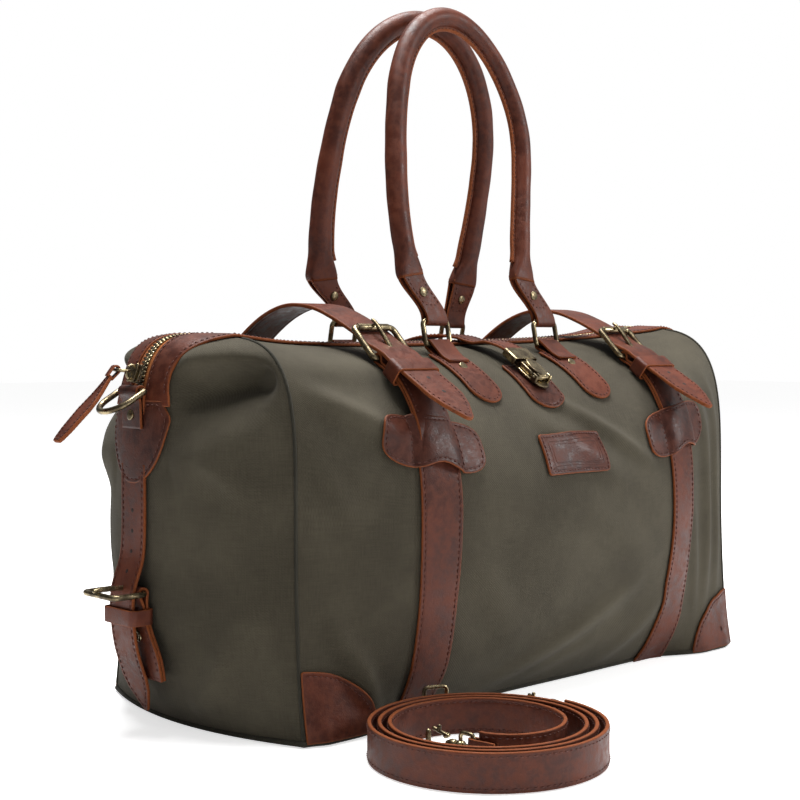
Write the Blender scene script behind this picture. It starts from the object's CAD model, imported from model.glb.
import bmesh
import bpy
import numpy as np
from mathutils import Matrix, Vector


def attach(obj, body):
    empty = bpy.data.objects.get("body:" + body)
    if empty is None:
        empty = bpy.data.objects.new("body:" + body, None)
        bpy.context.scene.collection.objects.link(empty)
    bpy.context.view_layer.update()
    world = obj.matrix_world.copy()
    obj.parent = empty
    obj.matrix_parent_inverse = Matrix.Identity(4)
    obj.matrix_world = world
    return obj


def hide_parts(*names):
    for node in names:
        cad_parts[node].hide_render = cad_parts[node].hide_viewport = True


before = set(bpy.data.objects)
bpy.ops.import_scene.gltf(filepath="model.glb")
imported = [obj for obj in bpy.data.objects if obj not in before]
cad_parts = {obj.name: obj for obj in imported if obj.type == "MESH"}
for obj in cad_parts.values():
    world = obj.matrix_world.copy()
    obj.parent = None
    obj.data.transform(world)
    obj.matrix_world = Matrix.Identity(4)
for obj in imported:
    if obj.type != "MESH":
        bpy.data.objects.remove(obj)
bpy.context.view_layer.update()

mm = 0.001
print("frame loaded")

# the bag's own sizes, in millimetres like every length below
bag = dict(seamX=261, baseHalf=118, bellyMid=154, bellyEnd=110, waist=150, ridgeMid=284,
           ridgeRise=10, ridgeLean=5, bulge=60, canvas=2.0, lift=0.8, hide=2.2, foldDepth=1.4)
bandX = 150
footX = 68


# small numeric helpers
def smooth(a, b, t):  # 0 below a, 1 above b, an S curve between
    k = np.clip((t - a) / (b - a), 0, 1)
    return k * k * (3 - 2 * k)


def hump(t, centre, width):  # a bell curve, 1 at its centre
    return np.exp(-((t - centre) / width) ** 2)


def unit(v):  # each row scaled to length 1
    return v / np.maximum(np.linalg.norm(v, axis=-1, keepdims=True), 1e-9)


def evenly(path, step, closed=False):  # the same line with points about step apart, ends kept
    path = np.asarray(path, float)
    if closed:
        path = np.vstack([path, path[:1]])
    far = np.r_[0, np.cumsum(np.linalg.norm(np.diff(path, axis=0), axis=1))]
    count = max(int(round(far[-1] / step)), 2) + 1
    at = np.linspace(0, far[-1], count)
    out = np.stack([np.interp(at, far, path[:, k]) for k in range(path.shape[1])], 1)
    return out[:-1] if closed else out


def curveThrough(points, step):  # Catmull-Rom curve through the points, evenly spaced
    p = np.asarray(points, float)
    p = np.vstack([2 * p[0] - p[1], p, 2 * p[-1] - p[-2]])
    t = np.linspace(0, 1, 24, endpoint=False)[:, None]
    a, b, c, d = (p[k:len(p) - 3 + k, None] for k in range(4))
    run = 0.5 * (2 * b + (c - a) * t + (2 * a - 5 * b + 4 * c - d) * t ** 2
                 + (3 * b - a - 3 * c + d) * t ** 3)
    return evenly(np.vstack([run.reshape(-1, p.shape[1]), p[-2:-1]]), step)


def arc(centre, radius, start, end, count):  # points on a circle, angles in degrees
    a = np.radians(np.linspace(start, end, count))
    return np.stack([centre[0] + radius * np.cos(a), centre[1] + radius * np.sin(a)], 1)


# meshes
def grid(points, wrapRows=False, wrapCols=False):  # rows x cols x 3 points joined by quads
    rows, cols = points.shape[:2]
    i, j = np.meshgrid(np.arange(rows if wrapRows else rows - 1),
                       np.arange(cols if wrapCols else cols - 1), indexing="ij")
    a, b = i * cols + j, i * cols + (j + 1) % cols
    c, d = (i + 1) % rows * cols + (j + 1) % cols, (i + 1) % rows * cols + j
    return dict(p=points.reshape(-1, 3), q=np.stack([a, b, c, d], -1).reshape(-1, 4))


def joined(*parts):  # several parts as one
    n, out = 0, dict(p=[], q=[], uv=[], cut=[])
    for part in parts:
        count = len(part["p"])
        out["p"].append(part["p"])
        out["q"].append(part["q"] + n)
        out["uv"].append(part.get("uv", part["p"][:, :2]))
        out["cut"].append(part.get("cut", np.zeros(count)))
        n += count
    return {k: np.concatenate(v) for k, v in out.items()}


def makePiece(name, part, material, body="bag", replaces=(), weld=0.004):
    # a mesh object from points in millimetres; doubles are merged and every face turned outwards
    mesh = bpy.data.meshes.new(name)
    q = part["q"]
    mesh.vertices.add(len(part["p"]))
    mesh.vertices.foreach_set("co", (part["p"] * mm).astype(np.float32).ravel())
    mesh.loops.add(q.size)
    mesh.loops.foreach_set("vertex_index", q.ravel().astype(np.int32))
    mesh.polygons.add(len(q))
    mesh.polygons.foreach_set("loop_start", np.arange(0, q.size, 4, dtype=np.int32))
    mesh.polygons.foreach_set("loop_total", np.full(len(q), 4, np.int32))
    uv = part.get("uv", part["p"][:, :2]) * mm
    mesh.uv_layers.new(name="cloth").data.foreach_set("uv", uv[q.ravel()].astype(np.float32).ravel())
    cut = mesh.attributes.new("cut", "FLOAT", "POINT")
    cut.data.foreach_set("value", part.get("cut", np.zeros(len(part["p"]))).astype(np.float32))
    mesh.update()
    work = bmesh.new()
    work.from_mesh(mesh)
    bmesh.ops.remove_doubles(work, verts=work.verts, dist=weld * mm)
    bmesh.ops.dissolve_degenerate(work, edges=work.edges, dist=weld * mm * 0.1)
    bmesh.ops.recalc_face_normals(work, faces=work.faces)
    for face in work.faces:
        face.smooth = True
    work.to_mesh(mesh)
    work.free()
    mesh.materials.append(material)
    piece = bpy.data.objects.new(name, mesh)
    bpy.context.scene.collection.objects.link(piece)
    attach(piece, body)
    if replaces:
        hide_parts(*replaces)
    return piece


def tube(path, radius, side, closed=False, sides=12):
    # a round bar along a flat path; side is the direction square to the path's plane
    p = np.asarray(path, float)
    t = unit(np.roll(p, -1, 0) - np.roll(p, 1, 0)) if closed else unit(np.gradient(p, axis=0))
    b = unit(np.broadcast_to(np.asarray(side, float), p.shape))
    n = unit(np.cross(b, t))
    r = np.broadcast_to(radius, len(p))[:, None, None]
    a = np.radians(np.arange(sides) * 360 / sides)[None, :, None]
    ring = p[:, None] + r * (np.cos(a) * n[:, None] + np.sin(a) * b[:, None])
    if not closed:  # domed ends
        def cap(k, sign):
            steps = np.radians([90, 60, 30])[:: 1 if sign < 0 else -1]
            return np.stack([p[k] + sign * t[k] * r[k, 0, 0] * np.sin(s) + (ring[k] - p[k]) * np.cos(s)
                             for s in steps])
        ring = np.concatenate([cap(0, -1), ring, cap(-1, 1)])
    return grid(ring, wrapRows=closed, wrapCols=True)


def turned(profile, origin, axis, count=32):  # a profile of (radius, height) turned round an axis
    w = unit(np.asarray(axis, float))
    u = unit(np.cross(w, [0.3, 1, 0.2]))
    v = np.cross(w, u)
    prof = np.asarray(profile, float)
    a = np.radians(np.arange(count) * 360 / count)[None, :, None]
    ring = np.asarray(origin, float) + prof[:, 1, None, None] * w \
        + prof[:, 0, None, None] * (np.cos(a) * u + np.sin(a) * v)
    return grid(ring, wrapCols=True)


def rounded(corners, radius, count=7):  # a closed outline of corner points with round corners
    c = np.asarray(corners, float)
    before, after = unit(np.roll(c, 1, 0) - c), unit(np.roll(c, -1, 0) - c)
    t = np.linspace(0, 1, count)[None, :, None]
    a, b = (c + before * radius)[:, None], (c + after * radius)[:, None]
    return ((1 - t) ** 2 * a + 2 * t * (1 - t) * c[:, None] + t ** 2 * b).reshape(-1, c.shape[1])


# the bag's surface
def cubed(x):  # 0 in the middle of the bag and 1 at its end seams, by the cube of the way along
    return np.minimum(np.abs(x) / bag["seamX"], 1) ** 3


def ridgeAt(x):  # height of the top line: its middle, a fourth power rise to both ends, and a slight lean
    k = x / bag["seamX"]
    return bag["ridgeMid"] + bag["ridgeRise"] * k ** 4 + bag["ridgeLean"] * k


def bellyAt(x):  # half the depth at the waist, narrowing by the cube towards the ends
    return bag["bellyMid"] - (bag["bellyMid"] - bag["bellyEnd"]) * cubed(x)


def squareAt(x):  # the power of the upper section: near an ellipse in the middle, squarer at the ends
    return 2.1 + 1.9 * cubed(x)


def sAt(x, z):  # how far round the section, 0 at the base and 1 on the ridge, a height lies
    up = np.clip((z - bag["waist"]) / (ridgeAt(x) - bag["waist"]), 0, 1) ** (squareAt(x) / 2)
    return np.where(z < bag["waist"], 0.45 * z / bag["waist"], 0.45 + 0.55 / 90 * np.degrees(np.arcsin(up)))


def sAtY(x, y):  # the same for a distance out from the ridge, on the upper part
    k = np.clip((np.abs(y) / bellyAt(x)) ** (squareAt(x) / 2), 0, 1)
    return 0.45 + 0.55 / 90 * np.degrees(np.arccos(k))


# soft folds of the canvas: start and end (x, height), width, height of the fold
frontFolds = [
    ((5, 240), (100, 186), 6, 2.6), ((-30, 226), (60, 170), 9, 1.6), ((-262, 254), (-175, 215), 10, 4.5),
    ((-250, 268), (-120, 262), 9, 3.0), ((-255, 205), (-215, 150), 9, 1.8), ((-90, 4), (80, 78), 10, 4.5),
    ((-60, 0), (40, 34), 7, 3.0), ((60, 4), (130, 60), 10, 3.0), ((205, 225), (212, 50), 9, 3.5),
    ((236, 240), (240, 60), 8, 3.0), ((178, 130), (196, 40), 7, 2.0), ((-215, 60), (-190, 4), 8, 3.0),
    ((-240, 90), (-205, 30), 8, 2.4), ((-120, 120), (-60, 60), 14, 1.8), ((20, 140), (110, 100), 14, 1.6)]
backFolds = [
    ((-100, 236), (-10, 190), 7, 2.4), ((262, 254), (170, 218), 10, 4.0), ((-262, 250), (-180, 222), 10, 4.0),
    ((90, 4), (-80, 70), 10, 4.0), ((-205, 225), (-212, 50), 9, 3.2), ((236, 240), (240, 60), 8, 3.0),
    ((40, 150), (120, 100), 12, 1.8), ((215, 60), (190, 4), 8, 3.0), ((-60, 130), (10, 90), 14, 1.6)]
endFolds = [
    ((30, 244), (98, 262), 13, -25.0), ((34, 222), (100, 242), 16, -16.0), ((26, 272), (90, 282), 11, 9.0),
    ((52, 20), (92, 110), 9, 3.0), ((30, 8), (70, 52), 8, 2.6), ((88, 190), (66, 120), 11, 2.2),
    ((60, 205), (90, 175), 8, 2.5)]


def folds(u, z, lines):
    # each fold is a rounded ridge along its line with a shallower valley below, dying out at both ends
    total = np.zeros(np.broadcast(u, z).shape)
    for start, end, width, height in lines:
        run = np.subtract(end, start)
        length = np.hypot(*run)
        t = ((u - start[0]) * run[0] + (z - start[1]) * run[1]) / length ** 2
        n = ((z - start[1]) * run[0] - (u - start[0]) * run[1]) / length * np.sign(run[0])
        fade = np.sin(np.pi * np.clip((t + 0.12) / 1.24, 0, 1)) ** 0.8
        total = total + height * fade * (hump(n, 0, width) - 0.45 * hump(n, -1.8 * width, 1.4 * width))
    return total


def ripple(u, z, seed):  # slow uneven waves in the cloth, a sum of sines
    return (np.sin(u / 37 + z / 61 + seed) + np.sin(u / 23 - z / 31 + 2.1 * seed)
            + np.sin(z / 19 + u / 83 + 0.7 * seed)) / 3


def sideSag(face, u, z, s):
    # how far the cloth stands off the plain section: folds and waves, and the bottom edge drawn in
    seam = 1 - smooth(0.88, 1.0, np.abs(u) / bag["seamX"])
    top = 1 - smooth(0.84, 0.91, s)
    lines = frontFolds if face < 0 else backFolds
    wrinkles = (bag["foldDepth"] * folds(u, z, lines) + 1.3 * ripple(u, z, 1.0 + face)) * seam * top
    corner = smooth(150, 215, np.abs(u))
    low = np.clip((46 - z) / 46, 0, 1)
    drawn = (15 * (1 - corner) - 9 * corner) * low ** 1.6 * smooth(0, 1, seam + 0.35)
    return wrinkles * smooth(0, 30, z) ** 0.5 - drawn


def sideSkin(face):  # (x, s) to a point: a parabola up to the waist, a squarish quarter ellipse above it
    def base(x, s):
        x, s = np.broadcast_arrays(np.asarray(x, float), np.asarray(s, float))
        belly, n, rise = bellyAt(x), squareAt(x), ridgeAt(x) - bag["waist"]
        a = np.radians(np.clip((s - 0.45) / 0.55 * 90, 0, 90))
        zLow = bag["waist"] * s / 0.45
        w = (bag["waist"] - zLow) / bag["waist"]
        low = s < 0.45
        z = np.where(low, zLow, bag["waist"] + rise * np.sin(a) ** (2 / n))
        y = np.where(low, belly - (belly - bag["baseHalf"]) * w * w, belly * np.cos(a) ** (2 / n))
        off = sideSag(face, x, z, s)
        ny, nz = np.where(low, 1, np.cos(a) ** (2 - 2 / n)), np.where(low, 0, np.sin(a) ** (2 - 2 / n))
        k = np.hypot(ny, nz)
        return np.stack([x, face * (y + off * ny / k), z + off * nz / k], -1)
    return base


def endSkin(side):  # (y, z) to a point: a parabola across, whose size follows the dome's height
    def base(y, z):
        y, z = np.broadcast_arrays(np.asarray(y, float), np.asarray(z, float))
        q = np.clip((z - bag["waist"]) / (ridgeAt(side * bag["seamX"]) - bag["waist"]), 0, 1)
        c = np.where(z > bag["waist"], np.maximum(1 - q ** 4, 1e-6) ** 0.25, 1)
        w = np.where(z < bag["waist"], ((bag["waist"] - z) / bag["waist"]) ** 2, 0)
        out = bag["bulge"] * c - 25 * w
        half = bag["bellyEnd"] * c + (bag["baseHalf"] - bag["bellyEnd"]) * w
        k = np.clip(1 - (y / half) ** 2, 0, 1)
        soft = folds(np.abs(y), z, endFolds) + 1.2 * ripple(y, z, 3.0 + side)
        middle = smooth(22, 42, np.abs(y))
        low = np.clip((60 - z) / 60, 0, 1) ** 2
        off = soft * smooth(0, 0.35, k) * middle * smooth(290, 282, z) * smooth(0, 25, z) - 12 * low * k
        return np.stack([side * (bag["seamX"] + np.maximum(out * k + off, 0)), y, z], -1)
    return base


def domeSkin(side):
    # (t, y) to a point on the top beyond a seam: t is the angle down the dome's middle, 90 at the seam.
    # Rows start square to the bag and end level, so that a strip laid over the dome ends straight
    def base(t, y):
        t, y = np.broadcast_arrays(np.asarray(t, float), np.asarray(y, float))
        b, h = bag["bulge"], bag["bellyEnd"]
        c0 = np.cos(np.radians(np.minimum(t, 90))) ** 0.5
        e = b * c0
        c1 = (e + np.sqrt(e * e + (2 * b * y / h) ** 2)) / (2 * b)
        level = smooth(90, 40, t)
        c = np.clip(c1 + (c0 - c1) * level, 1e-4, 1)
        rise = ridgeAt(side * bag["seamX"]) - bag["waist"]
        x = bag["seamX"] + b * c - b * y * y / (h * h * c)
        z = bag["waist"] + rise * (1 - c ** 4) ** 0.25
        return np.stack([side * np.maximum(x, bag["seamX"] * 0.98), y, z], -1)
    return base


inside = np.array([0, 0, 130.0])  # a point that every skin faces away from


def offsetFrom(base, du=0.5, dv=0.5):
    # (u, v, o) to a point standing o off the surface, along its own normal
    def place(u, v, o):
        p = base(u, v)
        n = unit(np.cross(base(u + du, v) - base(u - du, v), base(u, v + dv) - base(u, v - dv)))
        n = n * np.where(np.sum(n * (p - inside), -1, keepdims=True) < 0, -1, 1)
        return p + n * np.asarray(o)[..., None]
    return place


def onSide(face, x):  # (x, length up the section at x, offset) to a point, and height to length
    base = sideSkin(face)
    s = np.linspace(0, 1, 500)
    line = base(np.full(500, float(x)), s)
    far = np.r_[0, np.cumsum(np.linalg.norm(np.diff(line, axis=0), axis=1))]
    place = offsetFrom(lambda u, v: base(u, np.interp(v, far, s)))
    return place, lambda z: float(np.interp(sAt(x, np.array(float(z))), s, far))


def onPath(path, across, flip=1):
    # (across, along, off) to a point beside a line in space, for a strap of any run
    p = np.asarray(path, float)
    far = np.r_[0, np.cumsum(np.linalg.norm(np.diff(p, axis=0), axis=1))]
    t = unit(np.gradient(p, axis=0))
    a = np.broadcast_to(unit(np.asarray(across, float)), p.shape)
    n = unit(np.cross(a, t)) * flip

    def at(values, v):
        return np.stack([np.interp(v, far, values[:, k]) for k in range(3)], -1)

    def place(u, v, o):
        u, v, o = np.broadcast_arrays(np.asarray(u, float), np.asarray(v, float), np.asarray(o, float))
        return at(p, v) + at(a, v) * u[..., None] + unit(at(n, v)) * o[..., None]
    return place, far[-1]


def placeTowards(path, across, way):  # onPath with its outer side turned to face a direction
    place = onPath(path, across)[0]
    lift = place(0.0, 20.0, 1.0) - place(0.0, 20.0, 0.0)
    return place if np.dot(lift, way) > 0 else onPath(path, across, -1)[0]


# leather
def toOutline(points, outline):  # shortest distance from each point to a closed outline
    a, b = outline, np.roll(outline, -1, 0)
    d = b - a
    out = np.empty(len(points))
    for k in range(0, len(points), 2000):
        w = points[k:k + 2000, None] - a
        t = np.clip((w * d).sum(-1) / np.maximum((d * d).sum(-1), 1e-9), 0, 1)
        out[k:k + 2000] = np.sqrt(((w - t[..., None] * d) ** 2).sum(-1)).min(1)
    return out


def hidePart(outline, spine, place, low, thick, groove=2.9, step=2.0):
    # a leather piece of any outline: rings run in from its edge to a middle line or box (spine),
    # the edge is rounded over, and a shallow groove runs where the stitching lies
    edge = evenly(outline, step, closed=True)
    lo, hi = np.array(spine[0], float), np.array(spine[1], float)
    mid = np.clip(edge, lo, hi)
    reach = np.linalg.norm(mid - edge, axis=1, keepdims=True)
    way = (mid - edge) / np.maximum(reach, 1e-6)
    insets = np.array([0, 0.25, 0.7, 1.5, groove - 0.7, groove, groove + 0.7, groove + 1.8])
    rim = [edge + way * np.minimum(d, reach * 0.9) for d in insets]
    span = np.linspace(0, 1, max(int(reach.max() / 7), 2) + 1)[1:]
    inner = [rim[-1] + (mid - rim[-1]) * k for k in span]
    flat = np.array(rim + inner)
    rings, count = flat.shape[:2]
    d = toOutline(flat.reshape(-1, 2), edge).reshape(rings, count)
    corner = min(0.7, thick * 0.35)
    over = corner * (1 - np.sqrt(np.clip(1 - (1 - np.minimum(d / corner, 1)) ** 2, 0, 1)))
    top = low + thick - over - 0.28 * hump(d, groove, 0.55)
    under = low + over
    cutTop = 1 - smooth(0.15, 0.9, d)
    levels = [(flat[k], under[k], cutTop[k]) for k in range(rings - 1, -1, -1)]
    levels += [(flat[0], np.full(count, low + thick * 0.5), np.ones(count))]
    levels += [(flat[k], top[k], cutTop[k]) for k in range(rings)]
    uv = np.array([e[0] for e in levels])
    off = np.array([e[1] for e in levels])
    part = grid(place(uv[..., 0], uv[..., 1], off), wrapCols=True)
    part["uv"] = uv.reshape(-1, 2)
    part["cut"] = np.array([e[2] for e in levels]).ravel()
    return part


stitch = dict(pitch=4.6, length=3.3, radius=0.42)


def stitches(line, place, level, closed=False, pitch=stitch["pitch"]):
    # short plump threads along a pattern line, each dipping into the hide at both ends
    fine = evenly(line, 0.8, closed)
    p = place(fine[:, 0], fine[:, 1], np.full(len(fine), level))
    far = np.r_[0, np.cumsum(np.linalg.norm(np.diff(p, axis=0), axis=1))]
    at = np.arange(pitch / 2, far[-1], pitch)
    uvAt = np.stack([np.interp(at, far, fine[:, k]) for k in range(2)], 1)
    ahead = np.stack([np.interp(at + 0.5, far, fine[:, k]) for k in range(2)], 1)
    gap = np.linalg.norm(ahead - uvAt, axis=1) < 1.5
    uvAt, ahead = uvAt[gap], ahead[gap]
    here = place(uvAt[:, 0], uvAt[:, 1], np.full(len(uvAt), level))
    t = unit(place(ahead[:, 0], ahead[:, 1], np.full(len(uvAt), level)) - here)
    n = unit(place(uvAt[:, 0], uvAt[:, 1], np.full(len(uvAt), level + 0.5)) - here)
    b = np.cross(t, n)
    k = np.linspace(-1, 1, 5)
    a = np.radians(np.arange(6) * 60)
    r = stitch["radius"] * np.sqrt(np.maximum(1 - k ** 2, 0.0))[:, None]
    along = np.broadcast_to((k * stitch["length"] / 2)[:, None], (5, 6))
    up = 0.30 - 0.55 * k[:, None] ** 2 + r * np.sin(a)
    out = r * np.cos(a)
    pts = here[:, None, None] + along[..., None] * t[:, None, None] + up[..., None] * n[:, None, None] \
        + out[..., None] * b[:, None, None]
    one = grid(np.zeros((5, 6, 3)), wrapCols=True)["q"]
    quads = (one[None] + 30 * np.arange(len(here))[:, None, None]).reshape(-1, 4)
    return dict(p=pts.reshape(-1, 3), q=quads)


def insetLine(outline, d, step=1.2):  # the outline moved in by d, without the loops that corners make
    edge = evenly(outline, step, closed=True)
    t = unit(np.roll(edge, -1, 0) - np.roll(edge, 1, 0))
    area = np.sum(edge[:, 0] * np.roll(edge[:, 1], -1) - np.roll(edge[:, 0], -1) * edge[:, 1])
    n = np.stack([-t[:, 1], t[:, 0]], 1) * np.sign(area)
    line = edge + n * d
    return line[toOutline(line, edge) > d * 0.97]


def tongue(widths, step=1.0):  # closed outline of a strap: (length, half width) pairs, curved between
    w = np.asarray(widths, float)
    v = np.unique(np.r_[np.arange(w[0, 0], w[-1, 0], step), w[-1, 0], w[:, 0]])
    h = np.interp(v, w[:, 0], w[:, 1])
    return np.r_[np.stack([h, v], 1), np.stack([-h, v], 1)[::-1]]


def roundTip(start, tip, half, count=16):  # half widths of a strap that close in a quarter ellipse
    k = np.sin(np.linspace(0, 1, count) * np.pi / 2)
    return np.stack([start + (tip - start) * k, half * np.sqrt(1 - k ** 2)], 1)


# materials
def group(name, inputs, outputs):  # an empty node group with named sockets
    tree = bpy.data.node_groups.new(name, "ShaderNodeTree")
    for label, kind, value in inputs:
        socket = tree.interface.new_socket(label, in_out="INPUT", socket_type=kind)
        if value is not None:
            socket.default_value = value
    for label, kind in outputs:
        tree.interface.new_socket(label, in_out="OUTPUT", socket_type=kind)
    return tree, tree.nodes.new("NodeGroupInput"), tree.nodes.new("NodeGroupOutput")


def node(tree, kind, links=(), **values):  # capital names set a socket, small ones a property
    made = tree.nodes.new(kind)
    for key, value in values.items():
        if key[0].isupper():
            made.inputs[key].default_value = value
        else:
            setattr(made, key, value)
    for source, target in links:
        tree.links.new(source, made.inputs[target])
    return made


def maths(tree, operation, a, b=None, clamp=False):  # one Math node on sockets or plain numbers
    made = tree.nodes.new("ShaderNodeMath")
    made.operation, made.use_clamp = operation, clamp
    for k, value in enumerate((a, b)):
        if value is None:
            continue
        if isinstance(value, (int, float)):
            made.inputs[k].default_value = value
        else:
            tree.links.new(value, made.inputs[k])
    return made.outputs[0]


def noise(tree, vector, scale, detail=3.0, rough=0.55):  # cloudy noise from 0 to 1, scale in waves a metre
    made = node(tree, "ShaderNodeTexNoise", [(vector, "Vector")], Scale=scale, Detail=detail, Roughness=rough)
    return made.outputs["Fac"]


def blendColour(tree, factor, a, b):  # colour a going over to b
    made = tree.nodes.new("ShaderNodeMix")
    made.data_type = "RGBA"
    for k, value in ((0, factor), (6, a), (7, b)):
        if isinstance(value, (tuple, float, int)):
            made.inputs[k].default_value = value if k == 0 else (*value, 1)
        else:
            tree.links.new(value, made.inputs[k])
    return made.outputs[2]


def contrast(tree, value, low, high):  # an S curve from 0 at low to 1 at high
    made = node(tree, "ShaderNodeMapRange", [(value, "Value")], interpolation_type="SMOOTHSTEP")
    made.inputs["From Min"].default_value, made.inputs["From Max"].default_value = low, high
    return made.outputs[0]


def grainGroup():
    # leather: slow mottling, fine blotches, and pores with hair lines for the surface height
    tree, start, end = group("hideGrain", [("Vector", "NodeSocketVector", None)],
                             [(label, "NodeSocketFloat") for label in ("Mottle", "Blotch", "Height")])
    v = start.outputs["Vector"]
    slow = contrast(tree, noise(tree, v, 26, 4), 0.34, 0.68)
    fine = contrast(tree, noise(tree, v, 150, 5, 0.65), 0.36, 0.66)
    pores = node(tree, "ShaderNodeTexVoronoi", [(v, "Vector")], Scale=1150.0).outputs["Distance"]
    creases = maths(tree, "ABSOLUTE", maths(tree, "SUBTRACT", noise(tree, v, 320, 3, 0.6), 0.5))
    height = maths(tree, "ADD", maths(tree, "MULTIPLY", pores, 0.5), maths(tree, "MULTIPLY", creases, 2.2))
    tree.links.new(slow, end.inputs["Mottle"])
    tree.links.new(fine, end.inputs["Blotch"])
    tree.links.new(maths(tree, "ADD", height, maths(tree, "MULTIPLY", fine, 0.4)), end.inputs["Height"])
    return tree


def clothGroup():
    # plain weave: over and under threads from two sine waves, with slubs, thick and thin runs of thread
    tree, start, end = group("clothWeave",
                             [("Vector", "NodeSocketVector", None), ("Pitch", "NodeSocketFloat", 0.0011)],
                             [("Height", "NodeSocketFloat"), ("Slub", "NodeSocketFloat")])
    part = node(tree, "ShaderNodeSeparateXYZ", [(start.outputs["Vector"], 0)])
    rate = maths(tree, "DIVIDE", 3.14159, start.outputs["Pitch"])  # half a wave for each thread
    a = maths(tree, "SINE", maths(tree, "MULTIPLY", part.outputs[0], rate))
    b = maths(tree, "SINE", maths(tree, "MULTIPLY", part.outputs[1], rate))
    over = maths(tree, "MULTIPLY", a, b)

    def slub(x, y):  # noise drawn out long one way
        scaled = node(tree, "ShaderNodeMapping", [(start.outputs["Vector"], 0)])
        scaled.inputs["Scale"].default_value = (x, y, 1)
        return noise(tree, scaled.outputs[0], 1.0, 2, 0.6)
    slubs = maths(tree, "ADD", slub(70, 1500), slub(1500, 70))
    tree.links.new(maths(tree, "MULTIPLY", slubs, 0.5), end.inputs["Slub"])
    height = maths(tree, "ADD", maths(tree, "MULTIPLY", over, 0.5), maths(tree, "MULTIPLY", slubs, 0.9))
    tree.links.new(height, end.inputs["Height"])
    return tree


def newMaterial(name, roughness, metallic=0.0):  # a material with its tree and its shader
    made = bpy.data.materials.new(name)
    made.use_nodes = True
    tree = made.node_tree
    shader = tree.nodes["Principled BSDF"]
    shader.inputs["Roughness"].default_value = roughness
    shader.inputs["Metallic"].default_value = metallic
    return made, tree, shader


def objectCoords(tree):  # metres in the bag's own frame
    return tree.nodes.new("ShaderNodeTexCoord").outputs["Object"]


def bump(tree, shader, height, strength, distance):  # a height map made into the shader's normal
    made = node(tree, "ShaderNodeBump", [(height, "Height")], Strength=strength, Distance=distance)
    tree.links.new(made.outputs[0], shader.inputs["Normal"])


grain, weave = grainGroup(), clothGroup()


def leather(name, dark, mid, light, rough=0.46, rawEdge=(0.27, 0.068, 0.016)):
    # pull-up leather: mottled from dark to light, with a raw orange cut edge
    made, tree, shader = newMaterial(name, rough)
    v = objectCoords(tree)
    hide = node(tree, "ShaderNodeGroup", node_tree=grain)
    tree.links.new(v, hide.inputs["Vector"])
    body = blendColour(tree, hide.outputs["Mottle"], dark, mid)
    body = blendColour(tree, maths(tree, "MULTIPLY", hide.outputs["Blotch"], 0.38), body, light)
    edge = blendColour(tree, noise(tree, v, 600, 3), rawEdge, tuple(c * 0.45 for c in rawEdge))
    cut = node(tree, "ShaderNodeAttribute", attribute_name="cut").outputs["Fac"]
    rub = maths(tree, "MULTIPLY", cut, contrast(tree, noise(tree, v, 90, 4), 0.18, 0.42), clamp=True)
    tree.links.new(blendColour(tree, rub, body, edge), shader.inputs["Base Color"])
    shine = node(tree, "ShaderNodeMapRange", [(hide.outputs["Blotch"], "Value")])
    shine.inputs["To Min"].default_value, shine.inputs["To Max"].default_value = rough - 0.09, rough + 0.12
    tree.links.new(maths(tree, "ADD", shine.outputs[0], maths(tree, "MULTIPLY", cut, 0.3), clamp=True),
                   shader.inputs["Roughness"])
    shader.inputs["Specular IOR Level"].default_value = 0.26
    bump(tree, shader, hide.outputs["Height"], 0.28, 0.00045)
    return made


def cloth(name, dark, light, pitch=0.0011, rough=0.88, strength=0.5):
    # woven cloth on the piece's own pattern coordinates, with waxy wear in slow patches
    made, tree, shader = newMaterial(name, rough)
    coords = tree.nodes.new("ShaderNodeTexCoord")
    woven = node(tree, "ShaderNodeGroup", node_tree=weave, Pitch=pitch)
    tree.links.new(coords.outputs["UV"], woven.inputs["Vector"])
    v = coords.outputs["Object"]
    wear = contrast(tree, noise(tree, v, 14, 5, 0.6), 0.32, 0.72)
    thread = contrast(tree, woven.outputs["Slub"], 0.34, 0.66)
    worn, slubby = maths(tree, "MULTIPLY", wear, 0.50), maths(tree, "MULTIPLY", thread, 0.34)
    mixed = maths(tree, "ADD", worn, slubby, clamp=True)
    base = blendColour(tree, mixed, dark, light)
    cut = node(tree, "ShaderNodeAttribute", attribute_name="cut").outputs["Fac"]
    colour = blendColour(tree, maths(tree, "MULTIPLY", cut, 0.5), base, light)
    tree.links.new(colour, shader.inputs["Base Color"])
    shader.inputs["Sheen Weight"].default_value = 0.05
    shader.inputs["Sheen Roughness"].default_value = 0.6
    shader.inputs["Specular IOR Level"].default_value = 0.12
    bump(tree, shader, woven.outputs["Height"], strength, 0.0003)
    return made


def metal(name, bright, dark, rough=0.3):
    # antique metal: bright rubbed brass over a dark patina, finely scratched
    made, tree, shader = newMaterial(name, rough, 1.0)
    v = objectCoords(tree)
    patina = contrast(tree, noise(tree, v, 95, 5, 0.6), 0.36, 0.62)
    tree.links.new(blendColour(tree, patina, bright, dark), shader.inputs["Base Color"])
    spread = node(tree, "ShaderNodeMapRange", [(patina, "Value")])
    spread.inputs["To Min"].default_value, spread.inputs["To Max"].default_value = rough - 0.06, rough + 0.16
    tree.links.new(spread.outputs[0], shader.inputs["Roughness"])
    bump(tree, shader, noise(tree, v, 900, 3), 0.12, 0.0002)
    return made


def plainStuff(name, colour, rough, scale):  # thread, board and rope: one colour varied by fine noise
    made, tree, shader = newMaterial(name, rough)
    v = objectCoords(tree)
    n = noise(tree, v, scale, 3)
    darker, lighter = tuple(c * 0.65 for c in colour), tuple(min(c * 1.3, 1) for c in colour)
    tree.links.new(blendColour(tree, n, darker, lighter), shader.inputs["Base Color"])
    bump(tree, shader, n, 0.3, 0.0003)
    return made


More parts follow.
